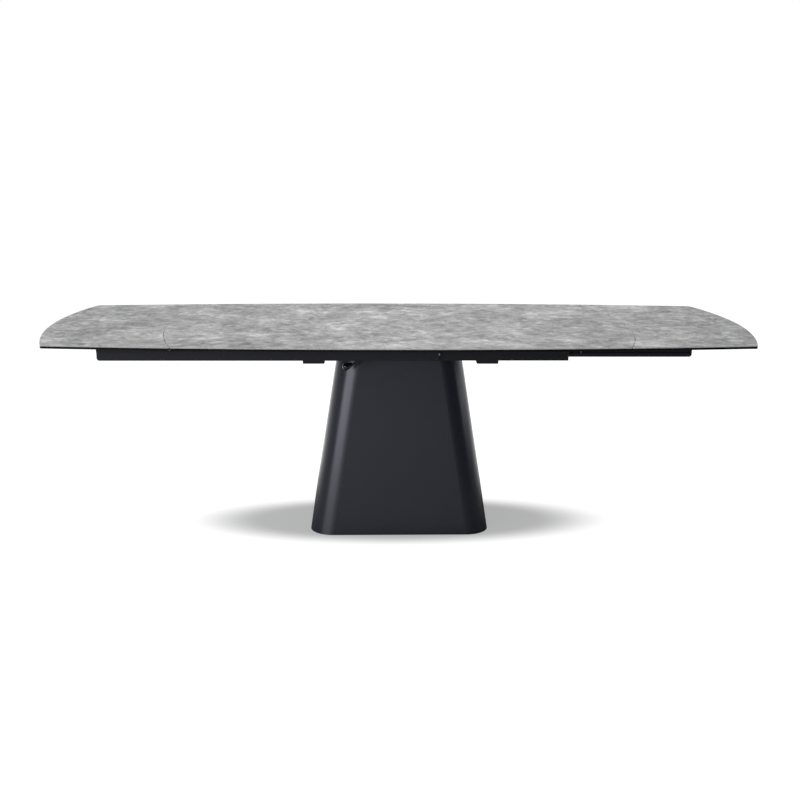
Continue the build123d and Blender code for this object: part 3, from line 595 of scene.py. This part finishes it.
screws, given, result = geometry_tree(
    "screws", {"Radius": "Float", "Height": "Float", "Sides": "Int", "Socket": "Float", "Seed": "Int",
               "Material": "Material"})
barrel = add(screws, "GeometryNodeMeshCylinder",
             {"Vertices": given["Sides"], "Side Segments": SIDE_RINGS,
              "Radius": given["Radius"], "Depth": given["Height"]}).outputs["Mesh"]
lift = add(screws, "ShaderNodeCombineXYZ", {"Z": math_node(screws, "MULTIPLY", given["Height"], 0.5)})
barrel = add(screws, "GeometryNodeTransform",
             {"Geometry": barrel, "Translation": lift.outputs["Vector"]}).outputs["Geometry"]
spot = add(screws, "GeometryNodeInputPosition").outputs["Position"]
up = add(screws, "ShaderNodeSeparateXYZ", {0: spot}).outputs["Z"]
rise = math_node(screws, "POWER", math_node(screws, "DIVIDE", up, given["Height"]), 2.0)
drawn = math_node(screws, "POWER", math_node(screws, "MULTIPLY", rise, CROWN_DRAW), 2.0)
share = math_node(screws, "SQRT", math_node(screws, "SUBTRACT", 1.0, drawn), 0.0)
inward = add(screws, "ShaderNodeCombineXYZ", {"X": share, "Y": share, "Z": 1.0}).outputs["Vector"]
crowned = add(screws, "ShaderNodeVectorMath", {0: spot, 1: inward}, operation="MULTIPLY").outputs["Vector"]
head = add(screws, "GeometryNodeSetPosition", {"Geometry": barrel, "Position": crowned}).outputs["Geometry"]
print("crown", round(math.sqrt(1 - CROWN_DRAW ** 2), 2), "of the head's radius")

# %% Cut a socket in the crown
KEY_SIDES = 6
KEY_RAISE = 0.95

key = add(screws, "GeometryNodeMeshCylinder",
          {"Vertices": KEY_SIDES, "Radius": given["Socket"], "Depth": given["Height"]}).outputs["Mesh"]
lift = add(screws, "ShaderNodeCombineXYZ", {"Z": math_node(screws, "MULTIPLY", given["Height"], KEY_RAISE)})
key = add(screws, "GeometryNodeTransform",
          {"Geometry": key, "Translation": lift.outputs["Vector"]}).outputs["Geometry"]
cut = add(screws, "GeometryNodeMeshBoolean", {"Mesh 1": head, "Mesh 2": key}, operation="DIFFERENCE")
has_socket = add(screws, "FunctionNodeCompare", {0: given["Socket"], 1: 0.0}, operation="GREATER_THAN")
head = add(screws, "GeometryNodeSwitch",
           {"Switch": has_socket.outputs["Result"], "False": head, "True": cut.outputs["Mesh"]},
           input_type="GEOMETRY").outputs["Output"]
print(screws.name, len(screws.nodes), "nodes so far")

# %% Shade the heads and set them on their points
SHARP_ANGLE = math.radians(32)

angle = add(screws, "GeometryNodeInputMeshEdgeAngle").outputs["Unsigned Angle"]
sharp = add(screws, "FunctionNodeCompare", {0: angle, 1: SHARP_ANGLE}, operation="GREATER_THAN")
smooth = add(screws, "GeometryNodeSetShadeSmooth", {"Geometry": head, "Shade Smooth": True}, domain="FACE")
edged = add(screws, "GeometryNodeSetShadeSmooth",
            {"Geometry": smooth.outputs["Geometry"], "Selection": sharp.outputs["Result"],
             "Shade Smooth": False}, domain="EDGE")
way = add(screws, "GeometryNodeInputNamedAttribute", {"Name": "facing"}, data_type="FLOAT_VECTOR")
faced = add(screws, "FunctionNodeAlignRotationToVector", {"Vector": way.outputs["Attribute"]}, axis="Z")
spin = add(screws, "FunctionNodeRandomValue", {2: 0.0, 3: math.tau, "Seed": given["Seed"]})
about = add(screws, "FunctionNodeAxisAngleToRotation", {"Angle": spin.outputs[1]})
turned = add(screws, "FunctionNodeRotateRotation",
             {0: faced.outputs[0], 1: about.outputs[0]}, rotation_space="LOCAL")
placed = add(screws, "GeometryNodeInstanceOnPoints",
             {"Points": given["Geometry"], "Instance": edged.outputs["Geometry"],
              "Rotation": turned.outputs[0]})
end_tree(screws, result, placed.outputs["Instances"], given["Material"])

# %% [markdown]
# The places come from the CAD nodes' own boxes where a face gives them. The pale screw in the right
# rail's slot is in the photograph, and sits flush in the web so that the runner passes over it.

# %% Find the places of the left-hand screws
DOWN, FRONT, REAR, LEFT, RIGHT = (0, 0, -1), (0, -1, 0), (0, 1, 0), (-1, 0, 0), (1, 0, 0)
PLATE_THICKNESS, PLATE_LENGTH = 0.003, 0.040
PLATE_SCREW_INSET, PLATE_SCREW_Y = 0.0055, 0.012
ANGLE_THICKNESS, ANGLE_SCREW_X, ANGLE_SCREW_DROP = 0.003, 0.011, 0.010
CAP_THICKNESS = 0.003
STOP_BOLT_RAISE = 0.007
SLOT_SCREW_X, SLOT_SCREW_DROP, WEB_DEPTH, SUNK = 0.6755, 0.0015, 0.008, 0.0018

rail_low, rail_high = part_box("left_outer_rail")
inner_low, inner_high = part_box("left_inner_rail")
guide_low, guide_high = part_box("front_guide_beam")
angle_low, angle_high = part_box("left_stay_bracket")
caps_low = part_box("left_rail_caps")[0]
stops_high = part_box("left_rail_stops")[1]
plate_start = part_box("release_brackets")[0][0]
rails_y = [(rail_low[1] + rail_high[1]) / 2, (inner_low[1] + inner_high[1]) / 2]
rail_z = (rail_low[2] + rail_high[2]) / 2
guide_y = (guide_low[1] + guide_high[1]) / 2
angle_x = (angle_low[0] + angle_high[0]) / 2

plate_screws = [((x, guide_y + y, guide_low[2] - PLATE_THICKNESS), DOWN)
                for x in (plate_start + PLATE_SCREW_INSET, plate_start + PLATE_LENGTH - PLATE_SCREW_INSET)
                for y in (-PLATE_SCREW_Y, PLATE_SCREW_Y)]
rail_screws = [((angle_x + x, inner_low[1] - ANGLE_THICKNESS, angle_high[2] - ANGLE_SCREW_DROP), FRONT)
               for x in (-ANGLE_SCREW_X, ANGLE_SCREW_X)]
rail_screws += [((caps_low[0], rails_y[0], rail_z), LEFT),
                ((inner_low[0] - CAP_THICKNESS, rails_y[1], rail_z), LEFT)]
stop_bolts = [((stops_high[0], y, rail_z + STOP_BOLT_RAISE), RIGHT) for y in rails_y]
slot_screws = [((-SLOT_SCREW_X, inner_high[1] - WEB_DEPTH - SUNK, rail_z - SLOT_SCREW_DROP), REAR)]
print("left-hand screws", len(plate_screws + rail_screws + stop_bolts + slot_screws))

# %% Screw the brackets, caps and stops on
BRACKET_SCREW = {"Radius": 0.0035, "Height": 0.0022, "Sides": 24, "Socket": 0.0018, "Seed": 3}
RAIL_SCREW = {"Radius": 0.0032, "Height": 0.0018, "Sides": 24, "Socket": 0.0016, "Seed": 10}
STOP_BOLT = {"Radius": 0.0075, "Height": 0.0053, "Sides": 6, "Socket": 0.0, "Seed": 20}
SLOT_SCREW = {"Radius": 0.0038, "Height": 0.002, "Sides": 24, "Socket": 0.0016, "Seed": 30}


def screw_points(name, places):
    """A mesh of loose points, each with the way that its screw faces."""
    mesh = bpy.data.meshes.new(name)
    mesh.from_pydata([place for place, facing in places], [], [])
    ways = mesh.attributes.new("facing", "FLOAT_VECTOR", "POINT")
    for item, (place, facing) in zip(ways.data, places):
        item.vector = facing
    return mesh


def other_side(places):
    return [(half_turn(place), half_turn(facing)) for place, facing in places]


both_plates = plate_screws + other_side(plate_screws)
grow("bracket_screws", screw_points("bracket_points", both_plates), screws, "root", "zinc_steel",
     **BRACKET_SCREW)
kinds = (("_rail_screws", rail_screws, "zinc_steel", RAIL_SCREW),
         ("_stop_bolts", stop_bolts, "plain_steel", STOP_BOLT),
         ("_slot_screw", slot_screws, "zinc_steel", SLOT_SCREW))
for number, side in enumerate(("left", "right")):
    for kind, places, slot, sizes in kinds:
        if side == "right":
            places = other_side(places)
        own_sizes = dict(sizes, Seed=sizes["Seed"] + number)
        points = screw_points(side + kind + "_points", places)
        grow(side + kind, points, screws, side + "_carriage", slot, **own_sizes)

# %% [markdown]
# ## Weld beads
# The spines are welded to the cross bars, the spacers to the guide beams, and the base plate is tacked
# inside the shell. A bead is a run of small ripples, so a tube is swept along a line and its radius
# swells once for each ripple. One tube stays one closed skin, where a row of balls would leave faces
# inside.

# %% A tree for weld beads
STEPS_PER_RIPPLE = 5.0
RING_SIDES = 10
END_TAPER, END_SHARPNESS = 0.55, 12.0

beads, given, result = geometry_tree(
    "weld_beads", {"Radius": "Float", "Ripple": "Float", "Pitch": "Float", "Material": "Material"})
step = math_node(beads, "DIVIDE", given["Pitch"], STEPS_PER_RIPPLE)
run = add(beads, "GeometryNodeMeshToCurve", {"Mesh": given["Geometry"]}).outputs["Curve"]
run = add(beads, "GeometryNodeResampleCurve",
          {"Curve": run, "Length": step}, mode="LENGTH").outputs["Curve"]
along = add(beads, "GeometryNodeSplineParameter").outputs
ripples = math_node(beads, "DIVIDE", along["Length"], given["Pitch"])
wave = math_node(beads, "SINE", math_node(beads, "MULTIPLY", ripples, math.tau), 0.0)
swell = math_node(beads, "MULTIPLY", wave, given["Ripple"])
from_middle = math_node(beads, "SUBTRACT", math_node(beads, "MULTIPLY", along["Factor"], 2.0), 1.0)
ends = math_node(beads, "MULTIPLY", math_node(beads, "POWER", from_middle, END_SHARPNESS), END_TAPER)
thickness = math_node(beads, "SUBTRACT", math_node(beads, "ADD", 1.0, swell), ends)
ring = add(beads, "GeometryNodeCurvePrimitiveCircle", {"Resolution": RING_SIDES, "Radius": given["Radius"]})
tube = add(beads, "GeometryNodeCurveToMesh",
           {"Curve": run, "Profile Curve": ring.outputs["Curve"], "Scale": thickness, "Fill Caps": True})
smooth = add(beads, "GeometryNodeSetShadeSmooth", {"Geometry": tube.outputs["Mesh"], "Shade Smooth": True})
end_tree(beads, result, smooth.outputs["Geometry"], given["Material"])


# %% Weld the frame
def lines_mesh(name, runs):
    """A mesh of separate straight edges."""
    mesh = bpy.data.meshes.new(name)
    ends = [end for run in runs for end in run]
    mesh.from_pydata(ends, [(2 * index, 2 * index + 1) for index in range(len(runs))], [])
    return mesh


def with_half_turns(runs):
    return runs + [tuple(half_turn(end) for end in run) for run in runs]


WELD_MARGIN = 0.004
SPACER_LENGTH = 0.100
SPACER_EDGES = (0.022, -0.022)
FRAME_BEAD = {"Radius": 0.0018, "Ripple": 0.12, "Pitch": 0.0022}

spine_low, spine_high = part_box("front_spine_beam")
spacer_x, _, spacer_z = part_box("top_spacers")[0]
spacer_ends = (spacer_x + WELD_MARGIN, spacer_x + SPACER_LENGTH - WELD_MARGIN)
spine_runs = [((x, spine_low[1] + WELD_MARGIN, z), (x, spine_high[1] - WELD_MARGIN, z))
              for x in (spine_low[0], spine_high[0]) for z in (spine_low[2], spine_high[2])]
spacer_runs = [tuple((x, guide_y + y, spacer_z) for x in spacer_ends) for y in SPACER_EDGES]
mirrored_runs = [tuple((-x, y, z) for x, y, z in run) for run in spacer_runs]
frame_runs = with_half_turns(spine_runs + spacer_runs + mirrored_runs)
grow("frame_welds", lines_mesh("frame_weld_lines", frame_runs), beads, "root", "black_steel", **FRAME_BEAD)

# %% Tack the base plate
TACK_HALF = 0.018
TACKS_X = (-0.19, 0.0, 0.19)
TACK_BEAD = {"Radius": 0.0022, "Ripple": 0.12, "Pitch": 0.0026}

_, base_y, base_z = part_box("pedestal_base_plate")[0]
front_tacks = [((x - TACK_HALF, base_y, base_z), (x + TACK_HALF, base_y, base_z)) for x in TACKS_X]
left_tacks = [tuple((y, x, z) for x, y, z in run) for run in front_tacks]
tacks = with_half_turns(front_tacks + left_tacks)
grow("base_tacks", lines_mesh("base_tack_lines", tacks), beads, "root", "primed_steel", **TACK_BEAD)

# %% [markdown]
# ## Seals in the seams
# A thin black rubber strip on each leaf's inner edge fills the seam, so no light shows through it from
# below. It follows the same round as the seam, so the tree draws an arc and sweeps a thin strip along it.
# The tree makes its own curve, so its carrier is an empty mesh.

# %% A tree for the seals
ARC_POINTS = 96

seals, given, result = geometry_tree(
    "seam_seals", {"Seam Radius": "Float", "Start Angle": "Float", "Sweep": "Float", "Centre": "Vector",
                   "Thickness": "Float", "Height": "Float", "Material": "Material"})
arc = add(seals, "GeometryNodeCurveArc",
          {"Resolution": ARC_POINTS, "Radius": given["Seam Radius"], "Start Angle": given["Start Angle"],
           "Sweep Angle": given["Sweep"]}, mode="RADIUS")
arc = add(seals, "GeometryNodeTransform",
          {"Geometry": arc.outputs["Curve"], "Translation": given["Centre"]})
upright = add(seals, "GeometryNodeSetCurveNormal", {"Curve": arc.outputs["Geometry"]}, mode="Z_UP")
section = add(seals, "GeometryNodeCurvePrimitiveQuadrilateral",
              {"Width": given["Thickness"], "Height": given["Height"]})
strip = add(seals, "GeometryNodeCurveToMesh",
            {"Curve": upright.outputs["Curve"], "Profile Curve": section.outputs["Curve"],
             "Fill Caps": True})
end_tree(seals, result, strip.outputs["Mesh"], given["Material"])

# %% Seal the seams
SEAM_ROUND, SEAM_GAP = 1.500, 0.002
SEAL_THICKNESS, SEAL_HEIGHT, SEAL_RAISE = 0.0012, 0.0065, 0.0008
SEAL_HALF_LENGTH = 0.485

main_low, main_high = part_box("main_top_glass")
seal_radius = SEAM_ROUND + SEAM_GAP - SEAL_THICKNESS / 2
seal_half_angle = math.asin(SEAL_HALF_LENGTH / seal_radius)
seal_z = main_low[2] + SEAL_RAISE + SEAL_HEIGHT / 2
seams = (("left", main_low[0] + SEAM_ROUND, math.pi), ("right", main_high[0] - SEAM_ROUND, 0.0))
for side, centre_x, middle in seams:
    sizes = {"Seam Radius": seal_radius, "Start Angle": middle - seal_half_angle,
             "Sweep": 2 * seal_half_angle, "Centre": (centre_x, 0.0, seal_z),
             "Thickness": SEAL_THICKNESS, "Height": SEAL_HEIGHT}
    carrier = lines_mesh(side + "_seal_carrier", [])
    seal = grow(side + "_seam_seal", carrier, seals, side + "_leaf", "rubber", **sizes)
    heights = [vertex.co.z for vertex in seal.data.vertices]
    print("seal height", round(max(heights) - min(heights), 4))

# %% [markdown]
# ## The size at the end
# Nothing here is meant to change the table's size, so the box from straight after loading and the box of the
# dressed table are both printed.

# %% Print the sizes and finish
visual_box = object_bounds()
sizes = {"cad": [list(corner) for corner in cad_box], "visual": [list(corner) for corner in visual_box]}
print(sizes)
